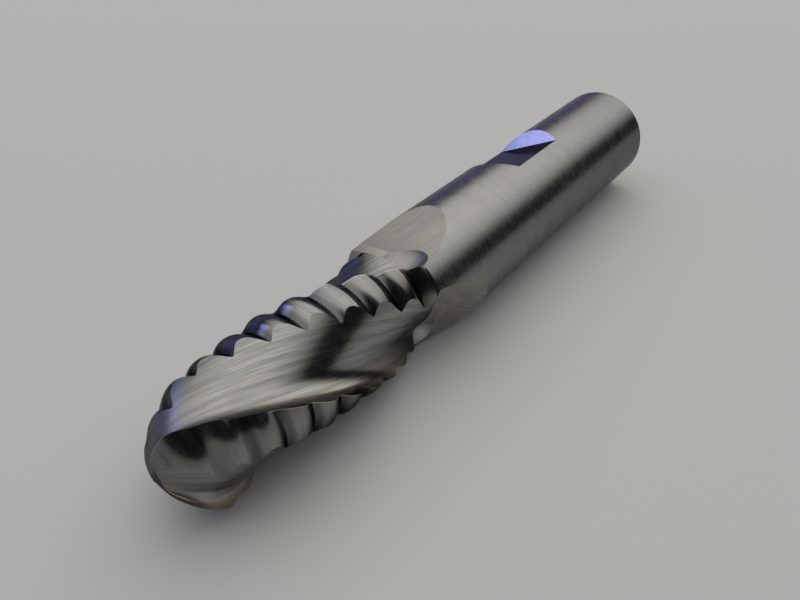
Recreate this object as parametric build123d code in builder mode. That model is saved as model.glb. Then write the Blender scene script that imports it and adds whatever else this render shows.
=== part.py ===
from build123d import *
from math import asin, atan2, cos, degrees, hypot, radians, sin, sqrt, tan
import os

# A solid carbide roughing cutter with a ball nose: three right-hand helical
# teeth with waved, relieved lands, and a plain shank with one clamping flat.
# Millimetres. The shank end stands on z = 0, the tip points up, and the
# clamping flat faces -Y.

# Overall sizes
overall_length = 76.2
shank_diameter = 12.7
shank_chamfer = 0.5
cutter_diameter = 12.1
cutting_length = 28.1

# Teeth: the land is the relieved strip behind each cutting edge
tooth_count = 3
helix_angle = 28.5
rake_angle = 2
relief_angle = 8
land_angle = 33
core_diameter = 7.8
flat_to_edge_angle = 61

# Waves across the lands, set over by a part of a pitch from tooth to tooth,
# and the flare that takes each land out to a small step under the shank
wave_pitch = 2.9
wave_depth = 0.55
wave_sharpness = 3
first_valley = 1.3
flare_length = 1.3
shoulder_step = 0.1
sections_per_wave = 8

# Ball nose: the gaps shrink with the ball, so that the edges reach its middle,
# the edges lead the helix more and more, and the relief is greatest halfway up
tip_lead = 27
nose_relief_gain = 9
tip_angle = 80
ball_sections = 9

# Run-outs: a wide wheel leaves the shank flat across and hollow along, and
# the foot of each gap lifts out inside that
runout_length = 7.9
runout_radius = 30
runout_angle = 45
foot_length = 3.2
foot_radius = 4
foot_sections = 5

# Clamping flat
flat_length = 8.9
flat_depth = 1.5
flat_centre = 22.5
flat_end_angle = 45

shank_radius = shank_diameter / 2
cutter_radius = cutter_diameter / 2
core_radius = core_diameter / 2
shoulder_height = overall_length - cutting_length
ball_centre = overall_length - cutter_radius * sin(radians(tip_angle))
tooth_angle = 360 / tooth_count
turn_per_mm = degrees(tan(radians(helix_angle)) / cutter_radius)


def polar(radius, angle):
    return (radius * cos(radians(angle)), radius * sin(radians(angle)))


def moved(point, shift):
    return (point[0] + shift[0], point[1] + shift[1])


def turned(point, angle):
    """The point, turned about the cutter's axis."""
    c, s = cos(radians(angle)), sin(radians(angle))
    return (point[0] * c - point[1] * s, point[0] * s + point[1] * c)


def halfway(start, end, centre, radius):
    """The middle of the shorter arc about a centre."""
    dx = start[0] + end[0] - 2 * centre[0]
    dy = start[1] + end[1] - 2 * centre[1]
    scale = radius / hypot(dx, dy)
    return (centre[0] + dx * scale, centre[1] + dy * scale)


def circles_meet(centre_a, radius_a, centre_b, radius_b):
    """The crossing of two circles that lies left of the way from a to b."""
    dx, dy = centre_b[0] - centre_a[0], centre_b[1] - centre_a[1]
    distance = hypot(dx, dy)
    reach = (radius_a**2 - radius_b**2 + distance**2) / (2 * distance)
    height = sqrt(radius_a**2 - reach**2)
    return (
        centre_a[0] + (dx * reach - dy * height) / distance,
        centre_a[1] + (dy * reach + dx * height) / distance,
    )


# The gap in front of a tooth, with that tooth's edge on the +X axis: a hollow
# front runs down to the core and passes smoothly into a full back, which
# rises to the heel of the tooth ahead.
front_radius = (cutter_radius**2 - core_radius**2) / (
    2 * (core_radius + cutter_radius * sin(radians(rake_angle)))
)
front_centre = moved((cutter_radius, 0), polar(front_radius, 90 + rake_angle))
bottom_angle = degrees(atan2(front_centre[1], front_centre[0]))
gap_bottom = polar(core_radius, bottom_angle)
heel_angle = tooth_angle - land_angle
heel_radius = cutter_radius * (1 - tan(radians(relief_angle)) * sin(radians(land_angle)))
back_reach = (heel_radius**2 - core_radius**2) / (
    2 * (core_radius - heel_radius * cos(radians(heel_angle - bottom_angle)))
)
back_radius = core_radius + back_reach
back_centre = polar(-back_reach, bottom_angle)

# Each land is first drawn wider than the gaps leave it, and every cut is drawn
# out to a radius that is clear of the tool
blank_ahead = 0.2 * tooth_angle
blank_behind = 0.7 * tooth_angle
clear_radius = 1.15 * shank_radius


def over_ball(z):
    """How far up the ball nose a height is, from 0 at its centre to 1."""
    return max(0, z - ball_centre) / cutter_radius


def wave(z, tooth):
    """How far the waves take a tooth's land in at a height."""
    over = over_ball(z)
    along = min(z, ball_centre) + cutter_radius * asin(over)
    turn = (along - shoulder_height - first_valley) / wave_pitch + tooth / tooth_count
    return wave_depth * (1 - over) * abs(cos(radians(180 * turn))) ** wave_sharpness


def edge_angle(z, tooth):
    first = -90 - flat_to_edge_angle
    lead = tip_lead * over_ball(z) ** 3
    return first + (z - shoulder_height) * turn_per_mm + lead + tooth_angle * tooth


def blank_section(z):
    """The outline of all lands at a height, before the gaps are ground."""
    over = over_ball(z)
    ball = sqrt(1 - over**2)
    relief = relief_angle + nose_relief_gain * 4 * over * (1 - over)
    eccentricity = cutter_radius * tan(radians(relief)) * ball
    flare = max(0, 1 - (z - shoulder_height) / flare_length)
    flare_rise = flare * (shank_radius - shoulder_step - cutter_radius)
    ends = []
    for tooth in range(tooth_count):
        land_radius = hypot(cutter_radius * ball, eccentricity) + flare_rise - wave(z, tooth)
        spots = (-blank_behind, (blank_ahead - blank_behind) / 2, blank_ahead)
        on_land = (moved(polar(land_radius, spot), (0, eccentricity)) for spot in spots)
        start, middle, end = (turned(point, edge_angle(z, tooth)) for point in on_land)
        ThreePointArc(start, middle, end)
        ends += [start, end]
    for tooth in range(tooth_count):
        Line(ends[2 * tooth + 1], ends[(2 * tooth + 2) % len(ends)])


def gap_section(z):
    """The outline of one gap at a height, closed outside the cutter."""
    ball = sqrt(1 - over_ball(z) ** 2)
    front_end = circles_meet(front_centre, front_radius, (0, 0), clear_radius)
    back_end = circles_meet(back_centre, back_radius, (0, 0), clear_radius)
    front_middle = halfway(front_end, gap_bottom, front_centre, front_radius)
    back_middle = halfway(gap_bottom, back_end, back_centre, back_radius)
    outside_middle = halfway(front_end, back_end, (0, 0), clear_radius)

    def placed(point):
        return turned((point[0] * ball, point[1] * ball), edge_angle(z, 0))

    ThreePointArc(placed(front_end), placed(front_middle), placed(gap_bottom))
    ThreePointArc(placed(gap_bottom), placed(back_middle), placed(back_end))
    ThreePointArc(placed(back_end), placed(outside_middle), placed(front_end))


def foot_section(down):
    """The hollow side of one gap below the shoulder, lifted out of the shank."""
    lift = foot_radius - sqrt(foot_radius**2 - down**2)
    edge = (cutter_radius, 0)
    heel = circles_meet(back_centre, back_radius, (0, 0), heel_radius)
    stop = halfway(gap_bottom, heel, back_centre, back_radius)
    stop_angle = degrees(atan2(stop[1], stop[0]))
    front_middle = halfway(edge, gap_bottom, front_centre, front_radius)
    back_middle = halfway(gap_bottom, stop, back_centre, back_radius)

    def placed(point):
        return turned(moved(point, polar(lift, runout_angle)), edge_angle(shoulder_height, 0))

    Line(placed((clear_radius, 0)), placed(edge))
    ThreePointArc(placed(edge), placed(front_middle), placed(gap_bottom))
    ThreePointArc(placed(gap_bottom), placed(back_middle), placed(stop))
    Line(placed(stop), placed(polar(clear_radius, stop_angle)))
    ThreePointArc(
        placed(polar(clear_radius, stop_angle)),
        placed(polar(clear_radius, stop_angle / 2)),
        placed((clear_radius, 0)),
    )


def heights(steps):
    """Heights of sections from the shoulder up to the ball, and over it to the tip."""
    length = ball_centre - shoulder_height
    straight = [shoulder_height + length * step / steps for step in range(steps)]
    turns = [radians(tip_angle * step / ball_sections) for step in range(ball_sections + 1)]
    return straight + [ball_centre + cutter_radius * sin(turn) for turn in turns]


waves = (ball_centre - shoulder_height) / wave_pitch

with BuildPart() as gap:
    for height in heights(round(waves)):
        with BuildSketch(Plane.XY.offset(height)):
            with BuildLine():
                gap_section(height)
            make_face()
    loft()

with BuildPart() as teeth:
    for height in heights(round(waves * sections_per_wave)):
        with BuildSketch(Plane.XY.offset(height)):
            with BuildLine():
                blank_section(height)
            make_face()
    loft(ruled=True)
    for tooth in range(tooth_count):
        add(gap.part.rotate(Axis.Z, tooth * tooth_angle), mode=Mode.SUBTRACT)

with BuildPart() as gap_foot:
    for step in range(foot_sections + 1):
        down = foot_length * step / foot_sections
        with BuildSketch(Plane.XY.offset(shoulder_height - down)):
            with BuildLine():
                foot_section(down)
            make_face()
    loft()

with BuildPart() as shank:
    Cylinder(shank_radius, shoulder_height, align=(Align.CENTER, Align.CENTER, Align.MIN))
    chamfer(shank.edges().group_by(Axis.Z)[0], shank_chamfer)
    runout_depth = shank_radius - core_radius
    runout_reach = sqrt(2 * runout_radius * runout_depth - runout_depth**2)
    runout_height = shoulder_height - runout_length + runout_reach
    for tooth in range(tooth_count):
        add(gap_foot.part.rotate(Axis.Z, tooth * tooth_angle), mode=Mode.SUBTRACT)
        out = Vector(1, 0, 0).rotate(Axis.Z, edge_angle(shoulder_height, tooth) + runout_angle)
        with BuildSketch(Plane((0, 0, 0), x_dir=out, z_dir=out.cross(Vector(0, 0, 1)))):
            with Locations((core_radius + runout_radius, runout_height)):
                Circle(runout_radius)
        extrude(amount=shank_radius, both=True, mode=Mode.SUBTRACT)
    with BuildSketch(Plane.YZ):
        with BuildLine():
            inside = flat_depth - shank_radius
            slope = (inside + clear_radius) / tan(radians(flat_end_angle))
            low = flat_centre - flat_length / 2
            high = flat_centre + flat_length / 2
            Polyline(
                (-clear_radius, low - slope),
                (inside, low),
                (inside, high),
                (-clear_radius, high + slope),
                close=True,
            )
        make_face()
    extrude(amount=shank_radius, both=True, mode=Mode.SUBTRACT)

with BuildPart() as endmill:
    add(shank.part)
    add(teeth.part)

endmill.part.label = "endmill"
os.makedirs("parts", exist_ok=True)
export_step(endmill.part, "parts/endmill.step")
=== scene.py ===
from math import asin, atan2, cos, degrees, hypot, pi, radians, sin, sqrt, tan

import bmesh
import bpy
from mathutils import Matrix, Vector


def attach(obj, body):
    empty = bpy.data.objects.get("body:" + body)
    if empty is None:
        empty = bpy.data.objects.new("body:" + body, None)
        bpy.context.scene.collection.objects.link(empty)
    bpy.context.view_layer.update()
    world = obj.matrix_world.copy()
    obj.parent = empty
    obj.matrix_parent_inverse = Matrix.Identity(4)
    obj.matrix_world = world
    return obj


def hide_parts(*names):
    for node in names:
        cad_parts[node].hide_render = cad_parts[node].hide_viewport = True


# The end mill stands on its shank end in the frame, and the camera sees it as
# it lies on a table. Blender works in metres. The sizes of the tool below are
# in millimetres and degrees, and those of the studio in metres.
MM = 0.001
NODE = "endmill"

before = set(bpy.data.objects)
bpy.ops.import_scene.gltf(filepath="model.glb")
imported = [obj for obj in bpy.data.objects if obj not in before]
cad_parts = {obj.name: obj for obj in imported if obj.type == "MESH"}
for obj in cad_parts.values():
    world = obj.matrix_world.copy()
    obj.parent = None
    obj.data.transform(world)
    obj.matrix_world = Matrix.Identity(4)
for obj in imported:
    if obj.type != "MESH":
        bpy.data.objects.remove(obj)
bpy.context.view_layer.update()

# Sizes of the tool, as in the solid model but for the foot, which lifts out
# sooner here
TOOTH_COUNT = 3
TOP = 76.2
SHOULDER = 48.1
SHANK_RADIUS = 6.35
SHANK_CHAMFER = 0.5
CUTTER_RADIUS = 6.05
CORE_RADIUS = 3.9
HELIX_ANGLE = 28.5
RAKE_ANGLE = 2
RELIEF_ANGLE = 8
NOSE_RELIEF_GAIN = 9
LAND_ANGLE = 33
FLAT_TO_EDGE_ANGLE = 61
WAVE_PITCH = 2.9
WAVE_DEPTH = 0.55
WAVE_SHARPNESS = 3
FIRST_VALLEY = 1.3
FLARE_LENGTH = 1.3
SHOULDER_STEP = 0.1
TIP_LEAD = 27
TIP_ANGLE = 80
RUNOUT_LENGTH = 7.9
RUNOUT_RADIUS = 30
RUNOUT_ANGLE = 45
FOOT_LENGTH = 2.1
FOOT_RADIUS = 2.6
FLAT_LENGTH = 8.9
FLAT_DEPTH = 1.5
FLAT_CENTRE = 22.5
FLAT_END_ANGLE = 45

# Every cut is drawn out to a radius that is clear of the tool
CLEAR_RADIUS = 1.15 * SHANK_RADIUS

BALL_CENTRE = TOP - CUTTER_RADIUS * sin(radians(TIP_ANGLE))
TOOTH_ANGLE = 360 / TOOTH_COUNT
TURN_PER_MM = degrees(tan(radians(HELIX_ANGLE)) / CUTTER_RADIUS)

# How fine the meshes are. The wheel is drawn over the part of a turn that
# reaches the shank, and the foot from just above the shoulder. Edges that turn
# by more than the sharp edge's angle aren't smoothed.
ROWS_PER_WAVE = 20
BALL_ROWS = 44
LAND_POINTS = 10
FRONT_POINTS = 12
BACK_POINTS = 14
FOOT_ROWS = 14
FOOT_OVERLAP = 1
SHANK_POINTS = 192
WHEEL_POINTS = 60
WHEEL_TURN = 40
SHARP_EDGE_ANGLE = 14

# Which material a face gets
SHANK, LAND, GAP, RUNOUT, FOOT, FLAT, FLAT_END = range(7)

# Distance from the cutting edge for faces that have none, and the shift of the
# grain from tooth to tooth, so that they don't look alike
FAR_FROM_EDGE = 20
GRAIN_SHIFT = 37.7

# Colours of the carbide, and of its pits, its worn edges with their painted
# highlight, the painted shade in the valleys of the waves, and the tints in its
# grinding lines
CARBIDE = (0.228, 0.224, 0.217)
PIT_COLOUR = (0.07, 0.07, 0.07)
WORN_EDGE_AND_HIGHLIGHT = (0.34, 0.325, 0.30)
VALLEY_SHADE = (0.045, 0.043, 0.042)
EDGE_TINT = (0.30, 0.21, 0.12)
WARM = (0.27, 0.215, 0.15)
VIOLET = (0.19, 0.18, 0.235)

# One finish for each region, in their order. A rim below 1 dims the shine at
# grazing angles, which paints shade along the outline.
FINISHES = (
    {
        "name": "shank_carbide", "base": CARBIDE, "roughness": 0.25,
        "rim": (0.45, 0.45, 0.48), "line_depth": 0.10, "line_shade": 0.05,
        "pitting": 0.4, "tint": VIOLET, "tint_amount": 0.05,
    },
    # The lands are a little darker than the shank, a painted shade
    {
        "name": "land_carbide", "base": (0.19, 0.188, 0.185), "roughness": 0.19,
        "rim": (0.25, 0.25, 0.27), "line_depth": 0.30, "line_shade": 0.12,
        "pitting": 0.4, "tint": VIOLET, "tint_amount": 0.1, "valley_shade": 0.7,
    },
    {
        "name": "gap_carbide", "base": (0.2, 0.201, 0.196), "roughness": 0.2,
        "rim": (0.3, 0.3, 0.31), "line_depth": 0.6, "line_shade": 0.24,
        "pitting": 0.1, "tint": WARM, "tint_amount": 0.2, "edge_tint": 0.4,
        "nose_roughness": 0.14,
    },
    {
        "name": "runout_carbide", "base": (0.222, 0.217, 0.207), "roughness": 0.26,
        "rim": (1.0, 0.98, 0.95), "line_depth": 0.5, "line_shade": 0.10,
        "pitting": 0.15, "tint": WARM, "tint_amount": 0.3,
    },
    {
        "name": "foot_carbide", "base": (0.205, 0.203, 0.195), "roughness": 0.46,
        "rim": (0.5, 0.5, 0.5), "line_depth": 0.5, "line_shade": 0.12,
        "pitting": 0.15, "tint": WARM, "tint_amount": 0.25,
    },
    # The flat is dark and bluish, a painted shade with a painted blue reflection
    {
        "name": "flat_carbide_painted_shade", "base": (0.125, 0.125, 0.155), "roughness": 0.14,
        "rim": (0.35, 0.35, 0.47), "line_depth": 0.3, "line_shade": 0.12,
        "pitting": 0.2, "tint": VIOLET, "tint_amount": 0.1,
    },
    # The flat's sloped ends are lighter and faintly lavender, a painted highlight with a
    # painted blue reflection
    {
        "name": "flat_end_carbide_painted_highlight", "base": (0.31, 0.305, 0.315), "roughness": 0.12,
        "rim": (0.5, 0.5, 0.53), "line_depth": 0.2, "line_shade": 0.06,
        "pitting": 0.1, "tint": VIOLET, "tint_amount": 0.2,
    },
)

# Patterns of the finishes: how many features there are in a millimetre, across
# and along the grain or in each direction of space, and the noise's detail and
# roughness
FINE_LINES = ((9.0, 0.35, 1), 3.0, 0.6)
BROAD_LINES = ((2.2, 0.10, 1), 2.0, 0.5)
PITS = ((7.0, 7.0, 7.0), 2.0, 0.6)
CLOUDS = ((0.8, 0.8, 0.8), 2.0, 0.5)

# Where in these patterns light lines, tinted streaks, warm streaks and pits
# start and are full, and how much sooner pits start on a fully pitted surface
LIGHT_LINES = (0.38, 0.62)
TINTED_STREAKS = (0.48, 0.66)
WARM_STREAKS = (0.35, 0.6)
PITTED = (0.60, 0.70)
MORE_PITS = 0.1

# Where other looks start and are full: distances from the cutting edge, shares
# of a wave's depth, and heights where the gaps get rougher towards the tip
EDGE_TINT_FADE = (2.2, 0.3)
WORN_EDGE_AND_HIGHLIGHT_FADE = (0.10, 0.03)
VALLEY_SHADE_FADE = (0.15, 0.9)
NOSE_FADE = (63.0, 69.0)

# How strongly the patterns show in colour, in roughness and in relief
PIT_SHADE = 0.55
PIT_ROUGHNESS = 0.2
LINE_ROUGHNESS = 0.22
CLOUD_ROUGHNESS = 0.16
PIT_RELIEF = 0.9
BROAD_RELIEF = 1.4
BUMP_DEPTH = 0.004

# The camera: where it stands, the point that it looks at, the picture's up
# direction, and its lens for its width of sensor
CAMERA_PLACE = (-46.52, -20.99, 87.50)
CAMERA_AIM = (-0.31, 0.66, 47.94)
CAMERA_UP = Vector((-0.015, -0.870, -0.494))
CAMERA_LENS = 28.8
SENSOR_WIDTH = 36
CLIP_START = 0.001
CLIP_END = 10

# The table touches the side of the shank. The studio's directions are up from
# the table, aside, towards the camera's side, and back, towards the shank end.
TABLE_UP = Vector((-0.4609, -0.8875, 0.0)).normalized()
ASIDE = TABLE_UP.cross(Vector((0, 0, 1))).normalized()
BACK = Vector((0, 0, -1))
TOOL_MIDDLE = Vector((0, 0, TOP / 2)) * MM
TABLE_SIZE = 7.0
TABLE_COLOUR = (0.43, 0.43, 0.425)
BACKDROP_COLOUR = (0.42, 0.42, 0.415)

# A dim tent over the table, with a large soft window in its top. The window
# goes from dark to bright between these places, aside and back from the tool's
# middle. Its rim is slanted at the nose's side and bulges at the side away from
# the camera's.
TENT_SIZE = 8.0
TENT_HEIGHT = 1.0
TENT_COLOUR = (0.022, 0.022, 0.024)
WINDOW_COLOUR = (1.75, 1.725, 1.66)
WINDOW_CAMERA_SIDE = (1.95, 0.0)
WINDOW_OTHER_SIDE = (-2.1, -0.3)
WINDOW_SHANK_SIDE = (4.0, 2.8)
WINDOW_NOSE_SIDE = (-0.9, -0.5)
WINDOW_SLANT = 0.61
BULGE_SIZE = 0.4
BULGE_NOSE_SIDE = (0.1, 0.6)
BULGE_SHANK_SIDE = (1.9, 1.2)

# Lamps: name, shape, direction from the tool, distance, size and radiance. The
# blue ones stand at the picture's left, and the rear ones behind the table.
LAMPS = (
    ("blue_lamp", "DISK", (0.485, -0.840, 0.242), 1.0, (0.27, 0.27), (1.15, 1.3, 2.85)),
    ("blue_strip", "RECTANGLE", (0.80, -0.50, -0.28), 1.0, (0.5, 2.2), (0.19, 0.2, 0.55)),
    ("rear_left", "RECTANGLE", (0.95, 0.30, 0.1), 0.7, (0.35, 0.9), (2.6, 2.6, 2.6)),
    ("rear_right", "RECTANGLE", (-0.45, 0.89, -0.1), 0.7, (0.35, 0.9), (2.6, 2.6, 2.6)),
)


def polar(radius, angle):
    return (radius * cos(radians(angle)), radius * sin(radians(angle)))


def moved(point, shift):
    return (point[0] + shift[0], point[1] + shift[1])


def scaled(point, scale):
    return (point[0] * scale, point[1] * scale)


def turned(point, angle):
    """The point, turned about the tool's axis."""
    c, s = cos(radians(angle)), sin(radians(angle))
    return (point[0] * c - point[1] * s, point[0] * s + point[1] * c)


def circles_meet(centre_a, radius_a, centre_b, radius_b):
    """The crossing of two circles that lies left of the way from a to b."""
    dx, dy = centre_b[0] - centre_a[0], centre_b[1] - centre_a[1]
    distance = hypot(dx, dy)
    reach = (radius_a**2 - radius_b**2 + distance**2) / (2 * distance)
    height = sqrt(radius_a**2 - reach**2)
    return (
        centre_a[0] + (dx * reach - dy * height) / distance,
        centre_a[1] + (dy * reach + dx * height) / distance,
    )


def angle_about(centre, point):
    """The direction from a centre to a point, in radians."""
    return atan2(point[1] - centre[1], point[0] - centre[0])


def turn_between(start, end, centre):
    """The angle from start to end about a centre, in radians, within half a turn."""
    turn = angle_about(centre, end) - angle_about(centre, start)
    return (turn + pi) % (2 * pi) - pi


def arc(start, end, centre, radius, count):
    """Points along the shorter arc about a centre, without the last."""
    first = angle_about(centre, start)
    step = turn_between(start, end, centre) / count
    angles = [first + step * spot for spot in range(count)]
    return [(centre[0] + radius * cos(a), centre[1] + radius * sin(a)) for a in angles]


# The gap in front of a tooth, with that tooth's edge on the +X axis: a hollow
# front runs down to the core and passes smoothly into a full back, which
# rises to the heel of the tooth ahead.
FRONT_RADIUS = (CUTTER_RADIUS**2 - CORE_RADIUS**2) / (
    2 * (CORE_RADIUS + CUTTER_RADIUS * sin(radians(RAKE_ANGLE)))
)
FRONT_CENTRE = moved((CUTTER_RADIUS, 0), polar(FRONT_RADIUS, 90 + RAKE_ANGLE))
BOTTOM_ANGLE = degrees(atan2(FRONT_CENTRE[1], FRONT_CENTRE[0]))
GAP_BOTTOM = polar(CORE_RADIUS, BOTTOM_ANGLE)
HEEL_ANGLE = TOOTH_ANGLE - LAND_ANGLE
HEEL_RADIUS = CUTTER_RADIUS * (1 - tan(radians(RELIEF_ANGLE)) * sin(radians(LAND_ANGLE)))
BACK_REACH = (HEEL_RADIUS**2 - CORE_RADIUS**2) / (
    2 * (CORE_RADIUS - HEEL_RADIUS * cos(radians(HEEL_ANGLE - BOTTOM_ANGLE)))
)
BACK_RADIUS = CORE_RADIUS + BACK_REACH
BACK_CENTRE = polar(-BACK_REACH, BOTTOM_ANGLE)


def over_ball(z):
    """How far up the ball nose a height is, from 0 at its centre to 1."""
    return max(0, z - BALL_CENTRE) / CUTTER_RADIUS


def along_surface(z):
    """The way from the shoulder to a height, over the ball nose as well."""
    return min(z, BALL_CENTRE) + CUTTER_RADIUS * asin(over_ball(z)) - SHOULDER


def wave(z, tooth):
    """How far the waves take a tooth's land in, as a share of their depth."""
    turn = (along_surface(z) - FIRST_VALLEY) / WAVE_PITCH + tooth / TOOTH_COUNT
    smooth = abs(cos(pi * turn)) ** WAVE_SHARPNESS
    pointed = 1 - abs(sin(pi * turn))
    return (1 - over_ball(z)) * (smooth + pointed) / 2


def edge_angle(z, tooth):
    """The direction of a tooth's cutting edge at a height."""
    first = -90 - FLAT_TO_EDGE_ANGLE
    lead = TIP_LEAD * over_ball(z) ** 3
    return first + (z - SHOULDER) * TURN_PER_MM + lead + TOOTH_ANGLE * tooth


def tooth_row(z):
    """The outline of the teeth at a height: one (x, y, region, across) for each point.

    The region is that of the stretch after the point, and across holds how far that
    stretch's two ends are from the gap's bottom, or on a land from its heel.
    """
    over = over_ball(z)
    ball = sqrt(1 - over**2)
    relief = RELIEF_ANGLE + NOSE_RELIEF_GAIN * 4 * over * (1 - over)
    eccentricity = CUTTER_RADIUS * tan(radians(relief)) * ball
    flare = max(0, 1 - (z - SHOULDER) / FLARE_LENGTH)
    flare_rise = flare * (SHANK_RADIUS - SHOULDER_STEP - CUTTER_RADIUS)
    land_centre = (0, eccentricity)
    land_radius = hypot(CUTTER_RADIUS * ball, eccentricity) + flare_rise
    bottom = scaled(GAP_BOTTOM, ball)
    front, front_radius = scaled(FRONT_CENTRE, ball), FRONT_RADIUS * ball
    back, back_radius = scaled(BACK_CENTRE, ball), BACK_RADIUS * ball
    ahead_centre = turned(land_centre, TOOTH_ANGLE)
    row = []
    for tooth in range(TOOTH_COUNT):
        own_radius = land_radius - WAVE_DEPTH * wave(z, tooth)
        ahead_radius = land_radius - WAVE_DEPTH * wave(z, (tooth + 1) % TOOTH_COUNT)
        tip = circles_meet(front, front_radius, land_centre, own_radius)
        heel = circles_meet(back, back_radius, ahead_centre, ahead_radius)
        ahead = circles_meet(front, front_radius, land_centre, ahead_radius)
        ahead = turned(ahead, TOOTH_ANGLE)
        stretches = (
            (tip, bottom, front, front_radius, FRONT_POINTS, GAP, bottom, FRONT_RADIUS),
            (bottom, heel, back, back_radius, BACK_POINTS, GAP, bottom, BACK_RADIUS),
            (heel, ahead, ahead_centre, ahead_radius, LAND_POINTS, LAND, heel, CUTTER_RADIUS),
        )
        for start, end, centre, radius, count, region, origin, scale in stretches:
            first = turn_between(origin, start, centre) * scale + tooth * GRAIN_SHIFT
            step = turn_between(start, end, centre) * scale / count
            for spot, point in enumerate(arc(start, end, centre, radius, count)):
                across = (first + step * spot, first + step * (spot + 1))
                row.append((*turned(point, edge_angle(z, tooth)), region, across))
    return row


def edge_distances(row):
    """For each stretch of a row, how far its two ends are from the nearest cutting edge."""
    share = len(row) // TOOTH_COUNT
    lengths = [
        hypot(after[0] - point[0], after[1] - point[1])
        for point, after in zip(row, row[1:] + row[:1])
    ]
    pairs = []
    for tooth in range(TOOTH_COUNT):
        own = lengths[tooth * share:(tooth + 1) * share]
        whole = sum(own)
        start = 0
        for length in own:
            end = start + length
            pairs.append((min(start, whole - start), min(end, whole - end)))
            start = end
    return pairs


def side_faces(levels, width):
    """The faces between closed rows of points, from the first row up."""
    faces = []
    for low in range(0, (levels - 1) * width, width):
        high = low + width
        for spot in range(width):
            after = (spot + 1) % width
            faces.append((low + spot, low + after, high + after, high + spot))
    return faces


def end_faces(levels, width):
    last = (levels - 1) * width
    return [tuple(range(width - 1, -1, -1)), tuple(range(last, last + width))]


def mesh_object(name, points, faces, regions, grain, edge=None):
    """A closed solid from points in millimetres.

    grain gives each face corner's place on the surface, with the grinding marks along
    its second direction. edge gives its distance from the cutting edge, and how deep
    in a valley of the waves it lies, from 0 to 1.
    """
    mesh = bpy.data.meshes.new(name)
    mesh.from_pydata([Vector(point) * MM for point in points], [], faces)
    mesh.polygons.foreach_set("material_index", regions)
    edge = edge or [(FAR_FROM_EDGE, 0)] * len(grain)
    for layer_name, places in (("grain", grain), ("edge", edge)):
        layer = mesh.uv_layers.new(name=layer_name)
        layer.data.foreach_set("uv", [number for place in places for number in place])
    mesh.update()
    work = bmesh.new()
    work.from_mesh(mesh)
    bmesh.ops.recalc_face_normals(work, faces=work.faces)
    work.to_mesh(mesh)
    work.free()
    piece = bpy.data.objects.new(name, mesh)
    bpy.context.scene.collection.objects.link(piece)
    return piece


def teeth():
    waves = (BALL_CENTRE - SHOULDER) / WAVE_PITCH
    straight_rows = round(waves * ROWS_PER_WAVE)
    row_height = (BALL_CENTRE - SHOULDER) / straight_rows
    turns = [radians(TIP_ANGLE * step / BALL_ROWS) for step in range(BALL_ROWS + 1)]
    heights = [SHOULDER + row_height * step for step in range(straight_rows)]
    heights += [BALL_CENTRE + CUTTER_RADIUS * sin(turn) for turn in turns]
    rows = [tooth_row(z) for z in heights]
    width = len(rows[0])
    points = [(*corner[:2], z) for z, row in zip(heights, rows) for corner in row]
    distances = [edge_distances(row) for row in rows]
    regions, grain, edge = [], [], []
    for level in range(len(rows) - 1):
        low_z, high_z = heights[level:level + 2]
        low_v, high_v = along_surface(low_z), along_surface(high_z)
        for spot in range(width):
            region, low = rows[level][spot][2:]
            high = rows[level + 1][spot][3]
            regions.append(region)
            places = [(low[0], low_v), (low[1], low_v), (high[1], high_v), (high[0], high_v)]
            grain += places if region == GAP else [place[::-1] for place in places]
            low_wave = high_wave = 0
            if region == LAND:
                ahead = (spot // (width // TOOTH_COUNT) + 1) % TOOTH_COUNT
                low_wave, high_wave = wave(low_z, ahead), wave(high_z, ahead)
            edge += [(distance, low_wave) for distance in distances[level][spot]]
            edge += [(distance, high_wave) for distance in distances[level + 1][spot][::-1]]
    for end, region in zip(end_faces(len(rows), width), (GAP, LAND)):
        regions.append(region)
        grain += [points[corner][:2] for corner in end]
        edge += [(FAR_FROM_EDGE, 0)] * width
    faces = side_faces(len(rows), width) + end_faces(len(rows), width)
    return mesh_object("teeth", points, faces, regions, grain, edge)


def prism(name, rows, region, grain_at):
    """A solid through rows of points, each as long as the others."""
    width = len(rows[0])
    points = [point for row in rows for point in row]
    faces = side_faces(len(rows), width) + end_faces(len(rows), width)
    grain = [grain_at(points[corner]) for face in faces for corner in face]
    return mesh_object(name, points, faces, [region] * len(faces), grain)


def shank():
    profile = [
        (SHANK_RADIUS - SHANK_CHAMFER, 0),
        (SHANK_RADIUS, SHANK_CHAMFER),
        (SHANK_RADIUS, SHOULDER),
    ]
    ring = [360 * step / SHANK_POINTS for step in range(SHANK_POINTS)]
    rows = [[(*polar(radius, angle), z) for angle in ring] for radius, z in profile]

    def grain_at(point):
        return (point[2], SHANK_RADIUS * atan2(point[1], point[0]))

    return prism("shank", rows, SHANK, grain_at)


def wheel(tooth):
    """What the wide wheel takes out of the shank in front of a tooth."""
    depth = SHANK_RADIUS - CORE_RADIUS
    reach = sqrt(2 * RUNOUT_RADIUS * depth - depth**2)
    height = SHOULDER - RUNOUT_LENGTH + reach
    centre = CORE_RADIUS + RUNOUT_RADIUS
    outline = []
    for step in range(WHEEL_POINTS + 1):
        turn = radians(WHEEL_TURN * (step / WHEEL_POINTS - 1))
        outline.append((centre - RUNOUT_RADIUS * cos(turn), height + RUNOUT_RADIUS * sin(turn)))
    outline += [(centre, outline[-1][1]), (centre, outline[0][1])]
    out_angle = edge_angle(SHOULDER, tooth) + RUNOUT_ANGLE
    rows = [
        [(*turned((out, side), out_angle), z) for out, z in outline]
        for side in (-CLEAR_RADIUS, CLEAR_RADIUS)
    ]

    def grain_at(point):
        side = turned(point[:2], -out_angle)[1]
        return turned((side, point[2]), HELIX_ANGLE)

    return prism("wheel", rows, RUNOUT, grain_at)


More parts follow.
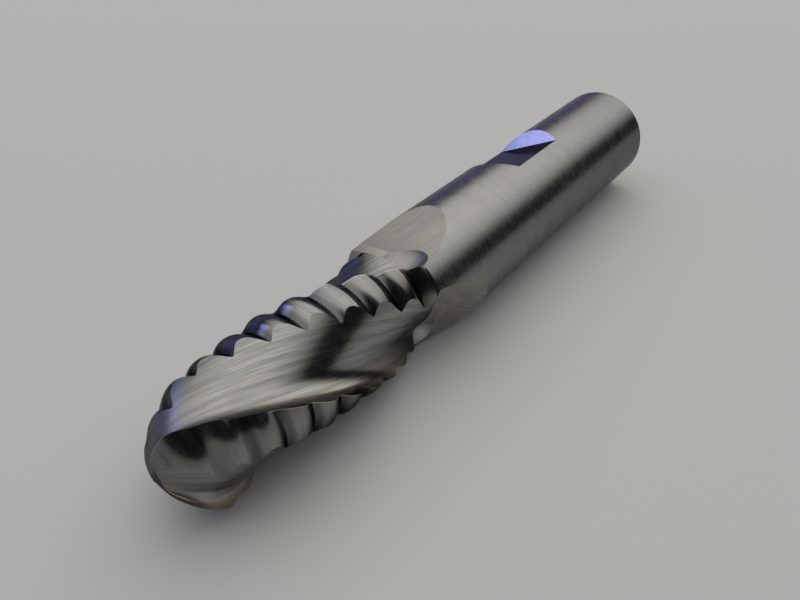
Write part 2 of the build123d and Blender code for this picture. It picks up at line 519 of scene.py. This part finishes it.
def foot_row(down):
    """The outline of one gap's foot at a depth below the shoulder."""
    depth = max(0, down)
    lift = FOOT_RADIUS - sqrt(FOOT_RADIUS**2 - depth**2)
    heel = circles_meet(BACK_CENTRE, BACK_RADIUS, (0, 0), HEEL_RADIUS)
    stop = arc(GAP_BOTTOM, heel, BACK_CENTRE, BACK_RADIUS, 2)[1]
    stop_angle = degrees(atan2(stop[1], stop[0]))
    points = arc((CUTTER_RADIUS, 0), GAP_BOTTOM, FRONT_CENTRE, FRONT_RADIUS, FRONT_POINTS)
    points += arc(GAP_BOTTOM, stop, BACK_CENTRE, BACK_RADIUS, BACK_POINTS // 2)
    points.append(stop)
    points += [polar(CLEAR_RADIUS, stop_angle * share) for share in (1, 0.5, 0)]
    shift = polar(lift, RUNOUT_ANGLE)
    return [turned(moved(point, shift), edge_angle(SHOULDER, 0)) for point in points]


def foot(tooth):
    downs = [FOOT_LENGTH * (1 - step / FOOT_ROWS) for step in range(FOOT_ROWS + 1)]
    downs.append(-FOOT_OVERLAP)
    rows = [
        [(*turned(point, tooth * TOOTH_ANGLE), SHOULDER - down) for point in foot_row(down)]
        for down in downs
    ]

    def grain_at(point):
        return (SHANK_RADIUS * atan2(point[1], point[0]), point[2])

    return prism("foot", rows, FOOT, grain_at)


def flat():
    inside = FLAT_DEPTH - SHANK_RADIUS
    slope = (inside + CLEAR_RADIUS) / tan(radians(FLAT_END_ANGLE))
    low, high = FLAT_CENTRE - FLAT_LENGTH / 2, FLAT_CENTRE + FLAT_LENGTH / 2
    outline = [
        (-CLEAR_RADIUS, low - slope),
        (inside, low),
        (inside, high),
        (-CLEAR_RADIUS, high + slope),
    ]
    rows = [[(x, y, z) for y, z in outline] for x in (-CLEAR_RADIUS, CLEAR_RADIUS)]
    piece = prism("flat", rows, FLAT, lambda point: (point[0], point[2]))
    for face in piece.data.polygons:
        sloped = abs(face.normal.z) > 0.1
        if sloped:
            face.material_index = FLAT_END
    return piece


def combine(piece, others, operation):
    """Take other solids out of a piece, or add them to it."""
    for other in others:
        change = piece.modifiers.new("change", "BOOLEAN")
        change.operation = operation
        change.solver = "EXACT"
        change.object = other
    bpy.context.view_layer.update()
    evaluated = piece.evaluated_get(bpy.context.evaluated_depsgraph_get())
    result = bpy.data.meshes.new_from_object(evaluated)
    piece.modifiers.clear()
    piece.data = result
    for other in others:
        bpy.data.objects.remove(other)


def node_tree(owner):
    """The node tree of a material or world, emptied."""
    owner.use_nodes = True
    owner.node_tree.nodes.clear()
    return owner.node_tree


def show(tree, shader, output_kind="ShaderNodeOutputMaterial"):
    output = tree.nodes.new(output_kind)
    tree.links.new(shader.outputs[0], output.inputs["Surface"])


def calculate(tree, operation, *values):
    """A number from others in turn, each a number or a socket."""
    result = values[0]
    for value in values[1:]:
        node = tree.nodes.new("ShaderNodeMath")
        node.operation = operation
        for slot, part in zip(node.inputs, (result, value)):
            if isinstance(part, (int, float)):
                slot.default_value = part
            else:
                tree.links.new(part, slot)
        result = node.outputs[0]
    return result


def product(tree, *values):
    return calculate(tree, "MULTIPLY", *values)


def total(tree, *values):
    return calculate(tree, "ADD", *values)


def fade(tree, value, start, full):
    """0 at start and 1 at full, smooth between, whichever of the two is larger."""
    node = tree.nodes.new("ShaderNodeMapRange")
    node.interpolation_type = "SMOOTHSTEP"
    tree.links.new(value, node.inputs["Value"])
    node.inputs["From Min"].default_value = min(start, full)
    node.inputs["From Max"].default_value = max(start, full)
    node.inputs["To Min"].default_value = 1 if start > full else 0
    node.inputs["To Max"].default_value = 0 if start > full else 1
    return node.outputs["Result"]


def blend(tree, factor, first, second):
    """A colour between two others, each a colour or a socket."""
    node = tree.nodes.new("ShaderNodeMix")
    node.data_type = "RGBA"
    tree.links.new(factor, node.inputs[0])
    for slot, value in ((node.inputs[6], first), (node.inputs[7], second)):
        if isinstance(value, tuple):
            slot.default_value = (*value, 1)
        else:
            tree.links.new(value, slot)
    return node.outputs[2]


def noise(tree, coordinates, scale, detail, roughness):
    """Noise from 0 to 1 on coordinates that are stretched by scale."""
    mapping = tree.nodes.new("ShaderNodeMapping")
    mapping.inputs["Scale"].default_value = scale
    node = tree.nodes.new("ShaderNodeTexNoise")
    node.inputs["Scale"].default_value = 1.0
    node.inputs["Detail"].default_value = detail
    node.inputs["Roughness"].default_value = roughness
    tree.links.new(coordinates, mapping.inputs["Vector"])
    tree.links.new(mapping.outputs[0], node.inputs["Vector"])
    return node.outputs["Fac"]


def separated(tree, vector):
    node = tree.nodes.new("ShaderNodeSeparateXYZ")
    tree.links.new(vector, node.inputs[0])
    return node.outputs


def uv_place(tree, layer):
    node = tree.nodes.new("ShaderNodeUVMap")
    node.uv_map = layer
    return node.outputs[0]


def carbide(
    name, base, roughness, rim, line_depth, line_shade, pitting, tint, tint_amount,
    edge_tint=0, valley_shade=0, nose_roughness=0,
):
    """Ground carbide: fine lines along the grain, small pits, and faint colours.

    rim is how much is left of the shine at grazing angles, and below 1 it paints shade
    along the outline. line_depth is how deep the lines look, line_shade how much they
    change the colour, pitting how many pits there are, and tint a second colour that
    comes in streaks. edge_tint is how strong the warm streaks beside the cutting edge
    are, valley_shade how dark the painted shade in the valleys of the waves is, and
    nose_roughness how much rougher the surface gets towards the tip.
    """
    material = bpy.data.materials.new(name)
    tree = node_tree(material)
    coordinates = tree.nodes.new("ShaderNodeTexCoord")
    millimetres = tree.nodes.new("ShaderNodeVectorMath")
    millimetres.operation = "SCALE"
    millimetres.inputs["Scale"].default_value = 1 / MM
    tree.links.new(coordinates.outputs["Object"], millimetres.inputs[0])
    place = millimetres.outputs[0]
    grain = uv_place(tree, "grain")
    from_edge, valley, _ = separated(tree, uv_place(tree, "edge"))
    height = separated(tree, place)["Z"]

    fine = noise(tree, grain, *FINE_LINES)
    broad = noise(tree, grain, *BROAD_LINES)
    pits = noise(tree, place, *PITS)
    cloud = noise(tree, place, *CLOUDS)
    pitted = fade(tree, pits, *(limit - MORE_PITS * pitting for limit in PITTED))

    # Colour: light and dark lines, a tint in some of them, warm streaks beside the
    # cutting edge, dark pits, painted shade in the valleys, and a light line on the
    # edge that is wear and partly a painted highlight
    dark = tuple(value * (1 - line_shade) for value in base)
    light = tuple(value * (1 + line_shade) for value in base)
    lines = product(tree, total(tree, fine, broad), 0.5)
    colour = blend(tree, fade(tree, lines, *LIGHT_LINES), dark, light)
    streaks = product(tree, fade(tree, broad, *TINTED_STREAKS), tint_amount)
    colour = blend(tree, streaks, colour, tint)
    near_edge = fade(tree, from_edge, *EDGE_TINT_FADE)
    warm = product(tree, near_edge, fade(tree, broad, *WARM_STREAKS), edge_tint)
    colour = blend(tree, warm, colour, EDGE_TINT)
    colour = blend(tree, product(tree, pitted, PIT_SHADE * pitting), colour, PIT_COLOUR)
    # Painted shade: the valleys of the waves are darkened
    valley_shaded = product(tree, fade(tree, valley, *VALLEY_SHADE_FADE), valley_shade)
    colour = blend(tree, valley_shaded, colour, VALLEY_SHADE)
    # A light line along the cutting edge: wear, and partly a painted highlight
    colour = blend(tree, fade(tree, from_edge, *WORN_EDGE_AND_HIGHLIGHT_FADE), colour, WORN_EDGE_AND_HIGHLIGHT)

    # Roughness: uneven, and rougher in the pits and towards the tip
    uneven = product(tree, calculate(tree, "SUBTRACT", cloud, 0.5), CLOUD_ROUGHNESS)
    lined = product(tree, calculate(tree, "SUBTRACT", fine, 0.5), LINE_ROUGHNESS)
    in_pits = product(tree, pitted, PIT_ROUGHNESS * pitting)
    on_nose = product(tree, fade(tree, height, *NOSE_FADE), nose_roughness)
    rough = total(tree, uneven, lined, roughness, in_pits, on_nose)

    # Relief: the lines and the pits
    relief = product(tree, total(tree, fine, product(tree, broad, BROAD_RELIEF)), line_depth)
    pit_relief = product(tree, pits, PIT_RELIEF * pitting)
    relief = calculate(tree, "SUBTRACT", relief, pit_relief)
    bump = tree.nodes.new("ShaderNodeBump")
    bump.inputs["Strength"].default_value = 1.0
    bump.inputs["Distance"].default_value = BUMP_DEPTH * MM
    tree.links.new(relief, bump.inputs["Height"])

    shader = tree.nodes.new("ShaderNodeBsdfPrincipled")
    shader.inputs["Metallic"].default_value = 1
    # The rim dims the shine at grazing angles, a painted shade along the outline
    shader.inputs["Specular Tint"].default_value = (*rim, 1)
    tree.links.new(colour, shader.inputs["Base Color"])
    tree.links.new(rough, shader.inputs["Roughness"])
    tree.links.new(bump.outputs[0], shader.inputs["Normal"])
    show(tree, shader)
    return material


def make_tool():
    tool = shank()
    cuts = [wheel(tooth) for tooth in range(TOOTH_COUNT)]
    cuts += [foot(tooth) for tooth in range(TOOTH_COUNT)]
    combine(tool, cuts + [flat()], "DIFFERENCE")
    combine(tool, [teeth()], "UNION")
    tool.name = tool.data.name = "ground_tool"
    for finish in FINISHES:
        tool.data.materials.append(carbide(**finish))
    tool.data.shade_smooth()
    tool.data.set_sharp_from_angle(angle=radians(SHARP_EDGE_ANGLE))
    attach(tool, "root")
    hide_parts(NODE)


def make_camera():
    data = bpy.data.cameras.new("photo_camera")
    data.lens = CAMERA_LENS
    data.sensor_width = SENSOR_WIDTH
    data.clip_start = CLIP_START
    data.clip_end = CLIP_END
    camera = bpy.data.objects.new("photo_camera", data)
    place, aim = Vector(CAMERA_PLACE) * MM, Vector(CAMERA_AIM) * MM
    backwards = (place - aim).normalized()
    right = CAMERA_UP.cross(backwards).normalized()
    axes = Matrix((right, backwards.cross(right), backwards)).transposed().to_4x4()
    camera.matrix_world = Matrix.Translation(place) @ axes
    bpy.context.scene.collection.objects.link(camera)
    bpy.context.scene.camera = camera


def studio_object(name, points, faces, material, height):
    """A part of the studio, at a height above the tool's axis.

    Its own axes run aside, back and up from the table.
    """
    mesh = bpy.data.meshes.new(name)
    mesh.from_pydata(points, [], faces)
    mesh.materials.append(material)
    part = bpy.data.objects.new(name, mesh)
    axes = Matrix((ASIDE, BACK, TABLE_UP)).transposed().to_4x4()
    part.matrix_world = Matrix.Translation(TOOL_MIDDLE + TABLE_UP * height) @ axes
    bpy.context.scene.collection.objects.link(part)
    return part


def square(size):
    half = size / 2
    return [(-half, -half), (half, -half), (half, half), (-half, half)]


def make_table():
    """A table that is pale and matt from above, and clear from below and to the light."""
    material = bpy.data.materials.new("table")
    tree = node_tree(material)
    paint = tree.nodes.new("ShaderNodeBsdfDiffuse")
    paint.inputs["Color"].default_value = (*TABLE_COLOUR, 1)
    clear = tree.nodes.new("ShaderNodeBsdfTransparent")
    below = tree.nodes.new("ShaderNodeNewGeometry").outputs["Backfacing"]
    to_light = tree.nodes.new("ShaderNodeLightPath").outputs["Is Shadow Ray"]
    mix = tree.nodes.new("ShaderNodeMixShader")
    tree.links.new(calculate(tree, "MAXIMUM", below, to_light), mix.inputs["Fac"])
    tree.links.new(paint.outputs[0], mix.inputs[1])
    tree.links.new(clear.outputs[0], mix.inputs[2])
    show(tree, mix)
    points = [(*corner, 0) for corner in square(TABLE_SIZE)]
    table = studio_object("table", points, [(0, 1, 2, 3)], material, -SHANK_RADIUS * MM)


def make_backdrop():
    """A world of one pale colour. The tent hides it from the tool's upper side."""
    world = bpy.data.worlds.new("studio")
    bpy.context.scene.world = world
    tree = node_tree(world)
    light = tree.nodes.new("ShaderNodeBackground")
    light.inputs["Color"].default_value = (*BACKDROP_COLOUR, 1)
    show(tree, light, "ShaderNodeOutputWorld")


def make_tent():
    """A dim box without a bottom, with a bright window in its top, hidden from the camera."""
    material = bpy.data.materials.new("tent")
    tree = node_tree(material)
    place = tree.nodes.new("ShaderNodeTexCoord").outputs["Object"]
    aside, back, _ = separated(tree, place)
    bulge = product(
        tree,
        fade(tree, back, *BULGE_NOSE_SIDE),
        fade(tree, back, *BULGE_SHANK_SIDE),
        BULGE_SIZE,
    )
    slanted = calculate(tree, "SUBTRACT", back, product(tree, aside, WINDOW_SLANT))
    window = product(
        tree,
        fade(tree, aside, *WINDOW_CAMERA_SIDE),
        fade(tree, total(tree, aside, bulge), *WINDOW_OTHER_SIDE),
        fade(tree, slanted, *WINDOW_NOSE_SIDE),
        fade(tree, back, *WINDOW_SHANK_SIDE),
    )
    glow = tree.nodes.new("ShaderNodeEmission")
    light = blend(tree, window, TENT_COLOUR, WINDOW_COLOUR)
    tree.links.new(light, glow.inputs["Color"])
    show(tree, glow)
    points = [(*corner, z) for z in (0, TENT_HEIGHT) for corner in square(TENT_SIZE)]
    faces = side_faces(2, 4) + [(4, 5, 6, 7)]
    tent = studio_object("tent", points, faces, material, 0)
    tent.visible_camera = False


def make_lamp(name, shape, direction, distance, size, radiance):
    """A flat lamp that faces the tool, hidden from the camera."""
    data = bpy.data.lights.new(name, "AREA")
    data.shape = shape
    data.size, data.size_y = size
    area = size[0] * size[1] * (pi / 4 if shape == "DISK" else 1)
    peak = max(radiance)
    data.color = [value / peak for value in radiance]
    data.energy = pi * area * peak
    lamp = bpy.data.objects.new(name, data)
    away = Vector(direction).normalized()
    across = away.cross(BACK).normalized()
    axes = Matrix((across, away.cross(across), away)).transposed().to_4x4()
    lamp.matrix_world = Matrix.Translation(TOOL_MIDDLE + away * distance) @ axes
    lamp.visible_camera = False
    bpy.context.scene.collection.objects.link(lamp)


make_camera()
make_table()
make_backdrop()
make_tent()
for lamp_values in LAMPS:
    make_lamp(*lamp_values)
make_tool()

bpy.context.scene.view_settings.view_transform = "Standard"
